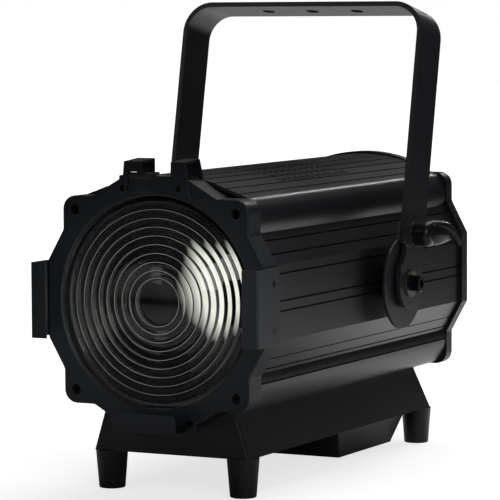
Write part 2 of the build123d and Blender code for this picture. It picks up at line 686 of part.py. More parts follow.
for name, x in POWER_SOCKETS:
    with BuildPart() as socket:
        with BuildSketch(front(FLANGE_REAR)):
            with Locations((x, SOCKET_Z)):
                RectangleRounded(*SOCKET_FLANGE)
        extrude(amount=FLANGE_T)
        # barrel behind the cover and the wider one through it
        for rear_y, radius, length in ((SOCKET_REAR, 11.8, 14.0), (COVER_REAR, 12.0, 24.0)):
            with BuildSketch(front(rear_y)):
                with Locations((x, SOCKET_Z)):
                    Circle(radius)
            extrude(amount=length)
        with BuildSketch(front(SOCKET_REAR)):
            with Locations((x, SOCKET_Z)):
                Circle(10.2)
        extrude(amount=16.0, mode=Mode.SUBTRACT)
        # inner sleeve and key in the recess
        with BuildSketch(front(SOCKET_REAR - 4.0)):
            with Locations((x, SOCKET_Z)):
                Circle(6.4)
                Circle(4.6, mode=Mode.SUBTRACT)
        extrude(amount=14.0)
        with BuildSketch(front(SOCKET_REAR - 2.0)):
            with Locations((x, SOCKET_Z + 9.4)):
                Rectangle(3.4, 3.0)
        extrude(amount=14.0)
        # two holes at opposite corners of the flange
        with BuildSketch(front(FLANGE_REAR)):
            with Locations((x - 9.5, SOCKET_Z + 12.2), (x + 9.5, SOCKET_Z - 12.2)):
                Circle(1.6)
        extrude(amount=FLANGE_T, mode=Mode.SUBTRACT)
    save(socket.part, name)

DATA_REAR = 477.5
with BuildPart() as data_sockets:
    with BuildSketch(front(FLANGE_REAR)):
        with Locations(*DATA_SOCKETS):
            RectangleRounded(*SOCKET_FLANGE)
    extrude(amount=FLANGE_T)
    for rear_y, radius, length in ((DATA_REAR, 11.0, 2.5), (COVER_REAR, 12.0, 20.0)):
        with BuildSketch(front(rear_y)):
            with Locations(*DATA_SOCKETS):
                Circle(radius)
        extrude(amount=length)
    with BuildSketch(front(DATA_REAR)):
        with Locations(*DATA_SOCKETS):
            Circle(9.2)
    extrude(amount=16.0, mode=Mode.SUBTRACT)
    # five contact pins in each
    with BuildSketch(front(476.0)):
        for centre in DATA_SOCKETS:
            with Locations(centre):
                with PolarLocations(5.6, 5, start_angle=-30, angular_range=300):
                    Circle(1.1)
    extrude(amount=14.6)
save(data_sockets.part, "data_sockets")

with BuildPart() as safety_eye:
    # upright ring
    with BuildSketch(side(0.0)):
        with Locations((481.0, EYE_Z)):
            Circle(8.0)
            Circle(4.4, mode=Mode.SUBTRACT)
    extrude(amount=2.2, both=True)
    # collar and shank
    for rear_y, radius, length in ((475.4, 7.0, 2.4), (COVER_REAR, 4.0, 12.0)):
        with BuildSketch(front(rear_y)):
            with Locations((0.0, EYE_Z)):
                Circle(radius)
        extrude(amount=length)
    # nut inside the cover
    with BuildSketch(front(COVER_REAR - COVER_WALL)):
        with Locations((0.0, EYE_Z)):
            RegularPolygon(radius=7.4, side_count=6)
    extrude(amount=5.0)
save(safety_eye.part, "safety_eye")

# ---------------------------------------------------------------- base
PLINTH_Y = 237.5        # centre of the plinth's lower edge
PLINTH_INNER_TOP = -112.0
PLATE_T = 1.8
COWL_Y = 331.0          # centre of the cowl's upper edge and of the power supply
COWL_FLOOR_Y = 332.0    # centre of the cowl's floor

with BuildPart() as base_plinth:
    with BuildSketch(level(PLINTH_BOTTOM)):
        with Locations((0.0, PLINTH_Y)):
            RectangleRounded(165.6, 419.0, 3.0)
    with BuildSketch(level(-103.6)):
        with Locations((0.0, 230.5)):
            RectangleRounded(139.0, 407.0, 3.0)
    loft()
    with BuildSketch(level(PLINTH_BOTTOM)):
        with Locations((0.0, PLINTH_Y)):
            Rectangle(161.2, 415.0)
    with BuildSketch(level(PLINTH_INNER_TOP)):
        with Locations((0.0, 232.0)):
            Rectangle(140.0, 405.2)
    loft(mode=Mode.SUBTRACT)
    # saddle that fits the underside of the body
    with BuildSketch(front(460.0)):
        Polygon(*mirrored([(CROWN_HALF, BODY_BOTTOM), (ROOF_HALF, -ROOF_EDGE_Z),
                           (90.0, -97.0)]), align=None)
    extrude(amount=450.0, mode=Mode.SUBTRACT)
    with BuildSketch(level(-115.0)):
        with Locations((0.0, WIRING_SLOT_Y)):
            SlotOverall(*WIRING_SLOT)
        with Locations(*PLINTH_SCREWS):
            Circle(PLINTH_HOLE_R)
    extrude(amount=12.0, mode=Mode.SUBTRACT)
save(base_plinth.part, "base_plinth")

with BuildPart() as plinth_screws:
    # heads, then shanks
    for bottom, radius, length in ((-115.0, 3.8, 3.0), (PLINTH_INNER_TOP, 2.0, 8.0)):
        with BuildSketch(level(bottom)):
            with Locations(*PLINTH_SCREWS):
                Circle(radius)
        extrude(amount=length)
save(plinth_screws.part, "plinth_screws")

with BuildPart() as base_plate:
    with BuildSketch(level(PLINTH_BOTTOM)):
        with Locations((0.0, 237.2)):
            Rectangle(159.6, 413.4)
        with Locations((0.0, COWL_Y)):
            Rectangle(116.0, 120.0, mode=Mode.SUBTRACT)
        with Locations(*FEET):
            Circle(2.6, mode=Mode.SUBTRACT)
    extrude(amount=PLATE_T)
save(base_plate.part, "base_plate")

with BuildPart() as underside_cowl:
    with BuildSketch(level(COWL_BOTTOM)):
        with Locations((0.0, COWL_FLOOR_Y)):
            Rectangle(120.0, 124.0)
    with BuildSketch(level(PLINTH_BOTTOM)):
        with Locations((0.0, COWL_Y)):
            Rectangle(138.0, 162.0)
    loft()
    with BuildSketch(level(COWL_BOTTOM + 2.0)):
        with Locations((0.0, COWL_FLOOR_Y)):
            Rectangle(117.0, 121.0)
    with BuildSketch(level(PLINTH_BOTTOM)):
        with Locations((0.0, COWL_Y)):
            Rectangle(133.0, 157.0)
    loft(mode=Mode.SUBTRACT)
    # intake slots in the cowl floor
    with BuildSketch(level(COWL_BOTTOM)):
        with GridLocations(14.0, 1.0, 6, 1):
            with Locations((0.0, COWL_FLOOR_Y)):
                SlotOverall(80.0, 4.0, rotation=90)
    extrude(amount=3.0, mode=Mode.SUBTRACT)
save(underside_cowl.part, "underside_cowl")

FOOT_R = 12.5           # at the floor; the feet widen upwards
FOOT_BORE_DEPTH = 24.0
with BuildPart() as feet:
    with BuildSketch(level(-AXIS_Z)):
        with Locations(*FEET):
            Circle(FOOT_R)
    extrude(amount=AXIS_Z + PLINTH_BOTTOM, taper=-4.6)
    # screw head bore, then the through hole
    for radius, depth in ((6.0, FOOT_BORE_DEPTH), (2.6, 40.0)):
        with BuildSketch(level(-AXIS_Z)):
            with Locations(*FEET):
                Circle(radius)
        extrude(amount=depth, mode=Mode.SUBTRACT)
    fillet(feet.edges().filter_by(GeomType.CIRCLE)
           .filter_by(lambda edge: edge.radius > FOOT_R - 0.1).group_by(Axis.Z)[0], radius=1.2)
save(feet.part, "feet")

with BuildPart() as foot_screws:
    # heads, then shanks
    for height, radius, length in ((FOOT_BORE_DEPTH - 4.0, 4.6, 4.0),
                                   (FOOT_BORE_DEPTH, 2.5, 19.0)):
        with BuildSketch(level(-AXIS_Z + height)):
            with Locations(*FEET):
                Circle(radius)
        extrude(amount=length)
    # nuts on the base plate
    with BuildSketch(level(PLINTH_BOTTOM + PLATE_T)):
        with Locations(*FEET):
            RegularPolygon(radius=4.6, side_count=6)
    extrude(amount=4.0)
save(foot_screws.part, "foot_screws")

SUPPLY_BOTTOM = -172.0
SUPPLY_H = 50.0
with BuildPart() as power_supply:
    with BuildSketch(level(SUPPLY_BOTTOM)):
        with Locations((0.0, COWL_Y)):
            RectangleRounded(100.0, 108.0, 3.0)
    extrude(amount=SUPPLY_H)
    # shallow slots in the top
    with BuildSketch(level(SUPPLY_BOTTOM + SUPPLY_H)):
        with Locations(*[(x, COWL_Y) for x in range(-40, 41, 10)]):
            SlotOverall(90.0, 4.0, rotation=90)
    extrude(amount=-2.0, mode=Mode.SUBTRACT)
save(power_supply.part, "power_supply")

# ---------------------------------------------------------------- pivots
with BuildPart() as pivot_plates:
    for sign in (-1, 1):
        with BuildSketch(side(sign * 102.0)):
            with Locations((PIVOT_Y, 0.0)):
                Rectangle(60.0, 56.0)
                Circle(BOLT_R + 0.05, mode=Mode.SUBTRACT)
            with Locations(*RIVETS):
                Circle(RIVET_R + 0.05, mode=Mode.SUBTRACT)
        extrude(amount=sign * 5.0)
save(pivot_plates.part, "pivot_plates")

with BuildPart() as pivot_spacers:
    for sign in (-1, 1):
        with BuildSketch(side(sign * BODY_SIDE)):
            with Locations((PIVOT_Y, 0.0)):
                Circle(17.0)
                Circle(BOLT_HOLE_R, mode=Mode.SUBTRACT)
            with Locations(*RIVETS):
                Circle(RIVET_HOLE_R, mode=Mode.SUBTRACT)
        extrude(amount=sign * (DISC_X - BODY_SIDE))
save(pivot_spacers.part, "pivot_spacers")

with BuildPart() as friction_discs:
    for sign in (-1, 1):
        with BuildSketch(side(sign * DISC_X)):
            with Locations((PIVOT_Y, 0.0)):
                Circle(DISC_R)
                Circle(BOLT_HOLE_R, mode=Mode.SUBTRACT)
            with Locations(*RIVETS):
                Circle(RIVET_HOLE_R, mode=Mode.SUBTRACT)
        extrude(amount=sign * DISC_T)
    chamfer(rims(friction_discs, DISC_R), length=0.5)
save(friction_discs.part, "friction_discs")

# Flush rivets that hold disc and spacer to the inner plate
RIVET_START = 102.5
with BuildPart() as disc_screws:
    for sign in (-1, 1):
        with BuildSketch(side(sign * RIVET_START)):
            with Locations(*RIVETS):
                Circle(RIVET_R)
        extrude(amount=sign * (DISC_FACE - RIVET_START))
save(disc_screws.part, "disc_screws")

BOLT_START = 100.0
BOLT_HEAD_R = 8.0
BOLT_HEAD_OUT = OUTER_X + 10.0
with BuildPart() as pivot_bolts:
    for sign in (-1, 1):
        for start, end, radius in ((BOLT_START, OUTER_X, BOLT_R),
                                   (OUTER_X, BOLT_HEAD_OUT, BOLT_HEAD_R)):
            with BuildSketch(side(sign * start)):
                with Locations((PIVOT_Y, 0.0)):
                    Circle(radius)
            extrude(amount=sign * (end - start))
        with BuildSketch(side(sign * BOLT_HEAD_OUT)):
            with Locations((PIVOT_Y, 0.0)):
                RegularPolygon(radius=4.6, side_count=6)
        extrude(amount=sign * -5.0, mode=Mode.SUBTRACT)
    chamfer(rims(pivot_bolts, BOLT_HEAD_R).filter_by(
        lambda edge: abs(abs(edge.center().X) - BOLT_HEAD_OUT) < 0.01), length=0.8)
save(pivot_bolts.part, "pivot_bolts")

# ---------------------------------------------------------------- yoke
BEND_X = YOKE_HALF - BEND_R     # where the crossbar bends start
BEND_Z = YOKE_TOP - BEND_R      # where the leg bends start
BAR_UNDER = YOKE_TOP - BAR_T
# Notch in the front edge of each leg, as (rearward, up the leg)
LEG_NOTCH = [(-26.0, 37.5), (-20.5, 37.5), (-16.5, 34.0), (-16.5, 27.0), (-21.0, 15.5),
             (-26.0, 15.5)]
CROSSBAR_HOLES_X = (-50.0, 0.0, 50.0)

with BuildPart() as yoke:
    with BuildSketch(YOKE_FRONT):
        with BuildLine():
            # outer contour from left to right, then the inner one back
            Line((-YOKE_HALF, 0.0), (-YOKE_HALF, BEND_Z))
            RadiusArc((-YOKE_HALF, BEND_Z), (-BEND_X, YOKE_TOP), BEND_R)
            Line((-BEND_X, YOKE_TOP), (BEND_X, YOKE_TOP))
            RadiusArc((BEND_X, YOKE_TOP), (YOKE_HALF, BEND_Z), BEND_R)
            Line((YOKE_HALF, BEND_Z), (YOKE_HALF, 0.0))
            Line((YOKE_HALF, 0.0), (LEG_IN, 0.0))
            Line((LEG_IN, 0.0), (LEG_IN, BEND_Z))
            RadiusArc((LEG_IN, BEND_Z), (BEND_X, BAR_UNDER), -(BEND_R - BAR_T))
            Line((BEND_X, BAR_UNDER), (-BEND_X, BAR_UNDER))
            RadiusArc((-BEND_X, BAR_UNDER), (-LEG_IN, BEND_Z), -(BEND_R - BAR_T))
            Line((-LEG_IN, BEND_Z), (-LEG_IN, 0.0))
            Line((-LEG_IN, 0.0), (-YOKE_HALF, 0.0))
        make_face()
    extrude(amount=BAR_W / 2, both=True)
    for sign in (-1, 1):
        # rounded leg ends
        with BuildSketch(yoke_side(sign * LEG_IN)):
            Circle(BAR_W / 2)
        extrude(amount=sign * BAR_T)
        # notch, stud hole and pivot hole
        with BuildSketch(yoke_side(sign * LEG_IN)):
            Polygon(*LEG_NOTCH, align=None)
            with Locations((0.0, LEVER_UP)):
                Circle(STUD_R + 0.15)
            Circle(BOLT_R + 0.05)
        extrude(amount=sign * BAR_T, mode=Mode.SUBTRACT)
    with BuildSketch(CROSSBAR_TOP):
        with Locations(*[(x, 0.0) for x in CROSSBAR_HOLES_X]):
            Circle(6.5)
    extrude(amount=-BAR_T, mode=Mode.SUBTRACT)
save(yoke.part, "yoke")

PIVOT_WASHER_R = 13.5
with BuildPart() as friction_washers:
    for sign in (-1, 1):
        with BuildSketch(yoke_side(sign * DISC_FACE)):
            Circle(PIVOT_WASHER_R)
            Circle(BOLT_HOLE_R, mode=Mode.SUBTRACT)
        extrude(amount=sign * (LEG_IN - DISC_FACE))
save(friction_washers.part, "friction_washers")

with BuildPart() as yoke_washers:
    for sign in (-1, 1):
        with BuildSketch(yoke_side(sign * YOKE_HALF)):
            Circle(PIVOT_WASHER_R)
            Circle(BOLT_HOLE_R, mode=Mode.SUBTRACT)
            with Locations((0.0, LEVER_UP)):
                Circle(12.0)
                Circle(STUD_R + 0.3, mode=Mode.SUBTRACT)
        extrude(amount=sign * WASHER_T)
save(yoke_washers.part, "yoke_washers")

# ---------------------------------------------------------------- clamp levers and clamp plates
HUB_R = 13.0
HUB_T = 19.0
# Stations (out, up, back) from the hub's inner centre; the last one only aims the section before.
# Sizes are the two half axes of the ellipse at each station.
SHOULDER_PATH = ((9.0, 0.0, 0.0), (15.0, -0.4, 6.0), (19.5, -1.8, 13.5), (22.5, -3.4, 21.0),
                 (24.5, -5.2, 27.5), (25.5, -6.2, 30.0))
SHOULDER_SIZES = ((11.6, 10.0), (11.9, 8.2), (10.0, 6.6), (6.6, 4.8), (2.2, 2.2))
CLAW_PATH = ((3.0, 8.4, 0.0), (12.0, 9.0, 5.0), (19.5, 8.9, 12.0), (25.0, 5.4, 21.0),
             (28.6, -3.0, 30.0), (30.4, -12.0, 36.5), (31.0, -16.0, 39.0))
CLAW_SIZES = ((3.6, 5.0), (4.1, 6.0), (4.3, 6.2), (4.3, 6.0), (4.2, 5.4), (4.0, 4.8))


def lever_plane(here, ahead):
    """Plane at one (out, up, back) station, square to the line to the next."""
    out, up, back = here
    point = Vector(OUTER_X + out,
                   BEZEL_Y + PIVOT_Y + LEVER_UP * TILT_SIN + back,
                   AXIS_Z + LEVER_UP * TILT_COS + up)
    run = Vector(ahead[0] - out, ahead[2] - back, ahead[1] - up).normalized()
    across = Vector(0.45, -0.89, 0.05).cross(run).normalized()
    return Plane(origin=point, x_dir=across, z_dir=run)


# Right lever: a hub, a pointed shoulder behind it and a claw-shaped handle over the top
with BuildPart() as lever:
    with BuildSketch(yoke_side(OUTER_X)):
        with Locations((0.0, LEVER_UP)):
            Circle(HUB_R)
    extrude(amount=HUB_T)
    fillet(lever.edges().filter_by(GeomType.CIRCLE)
           .filter_by(lambda edge: abs(edge.center().X - OUTER_X - HUB_T) < 0.01), radius=7.0)
    chamfer(lever.edges().filter_by(GeomType.CIRCLE)
            .filter_by(lambda edge: abs(edge.center().X - OUTER_X) < 0.01), length=0.6)
    for path, sizes in ((SHOULDER_PATH, SHOULDER_SIZES), (CLAW_PATH, CLAW_SIZES)):
        for here, ahead, half_axes in zip(path, path[1:], sizes):
            with BuildSketch(lever_plane(here, ahead)):
                Ellipse(*half_axes)
        loft()
    with BuildSketch(yoke_side(OUTER_X)):
        with Locations((0.0, LEVER_UP)):
            Circle(STUD_R + 0.05)
    extrude(amount=13.5, mode=Mode.SUBTRACT)
save(lever.part, "lever_right")
save(mirror(lever.part, about=Plane.YZ), "lever_left")

# Clamp plate: half width, and the heights along the leg that jaw and heel span
CLAMP_HALF = 11.0
CLAMP_TOP = 60.0
JAW_BOTTOM = 38.5
HEEL_BOTTOM = 47.5
JAW_X = 120.2
JAW_T = 4.0
HEEL_X = JAW_X + JAW_T

for name, sign in (("right", 1), ("left", -1)):
    with BuildPart() as clamp:
        # jaw on the inner side of the disc rim, then the heel between it and the leg
        for start, bottom, thickness in ((JAW_X, JAW_BOTTOM, JAW_T), (HEEL_X, HEEL_BOTTOM, 4.8)):
            with BuildSketch(yoke_side(sign * start)):
                Polygon((-CLAMP_HALF, bottom), (CLAMP_HALF, bottom),
                        (CLAMP_HALF, CLAMP_TOP), (-CLAMP_HALF, CLAMP_TOP), align=None)
            extrude(amount=sign * thickness)
        # stud
        with BuildSketch(yoke_side(sign * HEEL_X)):
            with Locations((0.0, LEVER_UP)):
                Circle(STUD_R)
        extrude(amount=sign * 25.0)
    save(clamp.part, "clamp_plate_" + name)

# ---------------------------------------------------------------- zoom train inside the body
RODS = [(-ROD_X, 0.0), (ROD_X, 0.0)]
LEAD_SCREW = (0.0, SCREW_Z)
LEAD_SCREW_R = 4.0
LEAD_SCREW_HOLE_R = 4.05
FRONT_SUPPORT_Y, REAR_SUPPORT_Y = 123.0, 390.0  # rear faces of the two supports
# Right halves as (x, z)
SUPPORT_OUTLINE = [(69.0, -92.0), (86.0, -57.0), (100.0, -34.0), (100.0, 34.0), (88.0, 60.0)]
CARRIAGE_OUTLINE = [(22.0, -88.0), (70.0, -60.0), (97.0, -16.0), (97.0, 16.0), (70.0, 60.0)]

with BuildPart() as rod_supports:
    for y, screw_hole_r in ((FRONT_SUPPORT_Y, LEAD_SCREW_HOLE_R), (REAR_SUPPORT_Y, 11.2)):
        with BuildSketch(front(y)):
            Polygon(*mirrored(SUPPORT_OUTLINE), align=None)
            Circle(56.0, mode=Mode.SUBTRACT)
            with Locations(*RODS):
                Circle(ROD_R + 0.02, mode=Mode.SUBTRACT)
            with Locations(LEAD_SCREW):
                Circle(screw_hole_r, mode=Mode.SUBTRACT)
            # four motor screw holes in the rear support
            if y == REAR_SUPPORT_Y:
                with Locations(LEAD_SCREW):
                    with GridLocations(31.0, 31.0, 2, 2):
                        Circle(1.6, mode=Mode.SUBTRACT)
        extrude(amount=4.0)
save(rod_supports.part, "rod_supports")

with BuildPart() as guide_rods:
    with BuildSketch(front(391.0)):
        with Locations(*RODS):
            Circle(ROD_R)
    extrude(amount=271.5)
save(guide_rods.part, "guide_rods")

MOTOR_LENGTH = 40.0
MOTOR_REAR = REAR_SUPPORT_Y + MOTOR_LENGTH
with BuildPart() as zoom_motor:
    with BuildSketch(front(MOTOR_REAR)):
        with Locations(LEAD_SCREW):
            RectangleRounded(42.3, 42.3, 4.0)
    extrude(amount=MOTOR_LENGTH)
    # locating boss on the front face
    with BuildSketch(front(REAR_SUPPORT_Y)):
        with Locations(LEAD_SCREW):
            Circle(11.0)
            Circle(LEAD_SCREW_HOLE_R, mode=Mode.SUBTRACT)
    extrude(amount=2.0)
    with BuildSketch(front(MOTOR_REAR)):
        with Locations(LEAD_SCREW):
            Circle(LEAD_SCREW_HOLE_R)
    extrude(amount=MOTOR_LENGTH, mode=Mode.SUBTRACT)
save(zoom_motor.part, "zoom_motor")

with BuildPart() as lead_screw:
    with BuildSketch(front(415.0)):
        with Locations(LEAD_SCREW):
            Circle(LEAD_SCREW_R)
    extrude(amount=297.0)
save(lead_screw.part, "lead_screw")

CARRIAGE_T = 6.0
with BuildPart() as zoom_carriage:
    with BuildSketch(front(CARRIAGE_Y + CARRIAGE_T)):
        Polygon(*mirrored(CARRIAGE_OUTLINE), align=None)
        with Locations(*RODS):
            Circle(8.0, mode=Mode.SUBTRACT)
        with Locations(LEAD_SCREW):
            Circle(5.1, mode=Mode.SUBTRACT)
    extrude(amount=CARRIAGE_T)
save(zoom_carriage.part, "zoom_carriage")

with BuildPart() as carriage_bushings:
    # sleeves through the carriage, then flanges against its front face
    for rear_y, radius, length in ((CARRIAGE_Y + 24.0, 7.98, 30.0), (CARRIAGE_Y, 11.0, 2.5)):
        with BuildSketch(front(rear_y)):
            with Locations(*RODS):
                Circle(radius)
                Circle(ROD_R + 0.04, mode=Mode.SUBTRACT)
        extrude(amount=length)
save(carriage_bushings.part, "carriage_bushings")

with BuildPart() as lead_nut:
    # flange behind the carriage, then the sleeve through it
    for radius, length in ((11.0, 3.5), (5.0, 12.0)):
        with BuildSketch(front(CARRIAGE_Y + 9.5)):
            with Locations(LEAD_SCREW):
                Circle(radius)
        extrude(amount=length)
    with BuildSketch(front(CARRIAGE_Y + 20.0)):
        with Locations(LEAD_SCREW):
            Circle(LEAD_SCREW_HOLE_R)
    extrude(amount=30.0, mode=Mode.SUBTRACT)
save(lead_nut.part, "lead_nut")

SINK_SIZE = (104.0, 100.0)
SINK_REAR = CARRIAGE_Y + 50.0
with BuildPart() as led_heatsink:
    # fins, then their base plate
    with BuildSketch(front(SINK_REAR)):
        Rectangle(*SINK_SIZE)
        with Locations(*[(x, 0.0) for x in range(-48, 49, 8)]):
            Rectangle(5.0, 101.0, mode=Mode.SUBTRACT)
    extrude(amount=34.0)
    with BuildSketch(front(CARRIAGE_Y + 16.0)):
        Rectangle(*SINK_SIZE)
    extrude(amount=10.0)
save(led_heatsink.part, "led_heatsink")

with BuildPart() as led_module:
    # board, then the raised disc on its front
    for rear_y, radius, thickness in ((CARRIAGE_Y, 34.0, 2.0), (CARRIAGE_Y - 2.0, 13.0, 1.2)):
        with BuildSketch(front(rear_y)):
            Circle(radius)
        extrude(amount=thickness)
save(led_module.part, "led_module")

# Flanged cup opening forward, as (radius, distance ahead of the carriage)
COLLECTOR_PROFILE = [(14.0, 2.0), (34.0, 2.0), (34.0, 4.0), (20.0, 6.0), (40.0, 34.0),
                     (44.0, 46.0), (42.0, 46.0), (38.0, 34.0), (16.0, 4.0), (14.0, 3.0)]
with BuildPart() as led_collector:
    with BuildSketch(TURNING):
        Polygon(*[(r, ahead - CARRIAGE_Y) for r, ahead in COLLECTOR_PROFILE], align=None)
    revolve(axis=OPTICAL_AXIS, revolution_arc=360)
save(led_collector.part, "led_collector")

# ---------------------------------------------------------------- cooling fan
FAN_Y = SINK_REAR       # front face of the fan
FAN_T = 25.0
with BuildPart() as cooling_fan_frame:
    with BuildSketch(front(FAN_Y + FAN_T)):
        RectangleRounded(92.0, 92.0, 4.0)
        Circle(43.5, mode=Mode.SUBTRACT)
        with GridLocations(82.5, 82.5, 2, 2):
            Circle(2.2, mode=Mode.SUBTRACT)
    extrude(amount=FAN_T)
    # rear hub carried by four struts
    with BuildSketch(front(FAN_Y + FAN_T)):
        Circle(19.0)
        with PolarLocations(31.0, 4, start_angle=45):
            Rectangle(27.0, 4.0)
        Circle(3.05, mode=Mode.SUBTRACT)
    extrude(amount=3.0)
save(cooling_fan_frame.part, "cooling_fan_frame")

BLADES = 7
BLADE_TWIST = 30        # degrees from the rear edge to the front edge
BLADE_MID_R = 29.0
BLADE_SECTION = (25.0, 1.8)
with BuildPart() as fan_rotor:
    with BuildSketch(front(FAN_Y + 21.0)):
        Circle(18.0)
    extrude(amount=18.0)
    for i in range(BLADES):
        with BuildSketch(front(FAN_Y + 20.0)):
            with Locations(Rotation(0, 0, i * 360 / BLADES)):
                with Locations((BLADE_MID_R, 0.0)):
                    Rectangle(*BLADE_SECTION)
        with BuildSketch(front(FAN_Y + 4.0)):
            with Locations(Rotation(0, 0, i * 360 / BLADES + BLADE_TWIST)):
                with Locations((BLADE_MID_R, 0.0)):
                    Rectangle(*BLADE_SECTION)
        loft()
    # shaft stub
    with BuildSketch(front(FAN_Y + 24.5)):
        Circle(3.0)
    extrude(amount=4.0)
save(fan_rotor.part, "fan_rotor")
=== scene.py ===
# A Fresnel stage luminaire in its yoke, on a white studio floor.
# Metres, +Z up. The lens axis runs along Y with the front bezel towards -Y; the floor is at z = 0.
# The CAD pieces keep their shape and get finishes and softened edges; only the lens is rebuilt.
import json
import math
import bmesh
import bpy
from mathutils import Matrix, Vector


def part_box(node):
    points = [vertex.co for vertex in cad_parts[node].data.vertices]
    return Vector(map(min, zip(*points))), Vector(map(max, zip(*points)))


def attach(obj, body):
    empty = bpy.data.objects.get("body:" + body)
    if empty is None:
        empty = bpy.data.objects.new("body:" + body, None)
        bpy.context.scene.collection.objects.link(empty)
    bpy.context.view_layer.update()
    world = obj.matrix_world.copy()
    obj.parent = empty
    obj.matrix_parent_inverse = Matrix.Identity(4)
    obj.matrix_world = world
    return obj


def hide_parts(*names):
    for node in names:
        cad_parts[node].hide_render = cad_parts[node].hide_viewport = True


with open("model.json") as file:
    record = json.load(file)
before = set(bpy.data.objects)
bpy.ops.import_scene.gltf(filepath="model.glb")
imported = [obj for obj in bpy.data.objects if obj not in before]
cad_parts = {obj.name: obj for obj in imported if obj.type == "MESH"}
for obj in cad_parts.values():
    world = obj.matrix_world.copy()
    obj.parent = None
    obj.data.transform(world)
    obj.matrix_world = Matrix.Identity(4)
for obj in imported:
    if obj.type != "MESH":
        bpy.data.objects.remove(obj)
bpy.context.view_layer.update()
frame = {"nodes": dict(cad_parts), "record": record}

scene = bpy.context.scene
pieces = frame["nodes"]

MM = 0.001
BEZEL_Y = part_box("front_bezel")[0][1]          # front face of the bezel
AXIS_Z = (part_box("fresnel_lens")[0][2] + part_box("fresnel_lens")[1][2]) / 2


def from_bezel(x, y, z):
    """Turns millimetres from the lens axis at the bezel's front face into scene metres."""
    return Vector((x * MM, BEZEL_Y + y * MM, AXIS_Z + z * MM))


def new_object(name, verts, faces):
    mesh = bpy.data.meshes.new(name)
    mesh.from_pydata([tuple(v) for v in verts], [], faces)
    mesh.validate()
    mesh.update()
    made = bpy.data.objects.new(name, mesh)
    scene.collection.objects.link(made)
    return made


# ------------------------------------------------------------------ node helpers
class Nodes:
    """An emptied node tree with short ways to add nodes. Inputs take a value or a socket."""

    def __init__(self, tree):
        self.tree = tree
        tree.nodes.clear()

    def node(self, kind, inputs=None, **settings):
        made = self.tree.nodes.new(kind)
        for key, value in settings.items():
            setattr(made, key, value)
        for key, value in (inputs or {}).items():
            if isinstance(value, bpy.types.NodeSocket):
                self.tree.links.new(value, made.inputs[key])
            else:
                made.inputs[key].default_value = value
        return made

    def mix_shader(self, fac, first, second):
        return self.node("ShaderNodeMixShader", {0: fac, 1: first, 2: second}).outputs[0]


class Mat(Nodes):
    """A material whose textures are placed by object coordinates."""

    def __init__(self, name):
        self.material = bpy.data.materials.new(name)
        self.material.use_nodes = True
        super().__init__(self.material.node_tree)
        self.place = self.node("ShaderNodeTexCoord").outputs["Object"]

    def noise(self, scale, detail=3.0, roughness=0.5, stretch=None):
        place = self.place
        if stretch:
            mapping = self.node("ShaderNodeMapping", {"Scale": stretch, "Vector": place})
            place = mapping.outputs["Vector"]
        return self.node("ShaderNodeTexNoise", {
            "Scale": scale, "Detail": detail, "Roughness": roughness, "Vector": place,
        }).outputs["Fac"]

    def remap(self, fac, span=(0.3, 0.7), to=(0.0, 1.0)):
        return self.node("ShaderNodeMapRange", {
            "From Min": span[0], "From Max": span[1],
            "To Min": to[0], "To Max": to[1], "Value": fac,
        }).outputs["Result"]

    def calc(self, operation, *values):
        return self.node("ShaderNodeMath", dict(enumerate(values)), operation=operation).outputs[0]

    def mix(self, fac, first, second):
        """Blends two colours, each a socket or an (r, g, b)."""
        first, second = (
            c if isinstance(c, bpy.types.NodeSocket) else (*c, 1) for c in (first, second)
        )
        inputs = {0: fac, 6: first, 7: second}
        return self.node("ShaderNodeMix", inputs, data_type="RGBA").outputs[2]

    def bump(self, height, strength, distance, normal=None):
        inputs = {"Strength": strength, "Distance": distance, "Height": height}
        if normal is not None:
            inputs["Normal"] = normal
        return self.node("ShaderNodeBump", inputs).outputs["Normal"]

    def dot(self, first, second):
        inputs = {0: first, 1: second}
        made = self.node("ShaderNodeVectorMath", inputs, operation="DOT_PRODUCT")
        return made.outputs["Value"]

    def edge_mask(self, radius):
        """1 on sharp edges, 0 on flats."""
        rounded = self.node("ShaderNodeBevel", {"Radius": radius}, samples=4).outputs["Normal"]
        true_normal = self.node("ShaderNodeNewGeometry").outputs["True Normal"]
        return self.remap(self.dot(rounded, true_normal), span=(0.90, 0.995), to=(1.0, 0.0))

    def bsdf(self, **inputs):
        """Principled shader; underscores stand for the spaces in input names."""
        inputs = {key.replace("_", " "): value for key, value in inputs.items()}
        return self.node("ShaderNodeBsdfPrincipled", inputs).outputs[0]

    def done(self, shader):
        self.node("ShaderNodeOutputMaterial", {"Surface": shader})
        return self.material


def scaled(colour, factor):
    return tuple(min(1, part * factor) for part in colour)


# ------------------------------------------------------------------ general finishes
WARM = (1.08, 1.06, 1.02)        # tint of the lighter patches in powder coat
RUBBED_EDGE_AND_HIGHLIGHT = (0.11, 0.115, 0.12)       # colour of the lighter edges: partly rubbed wear, partly a painted edge highlight
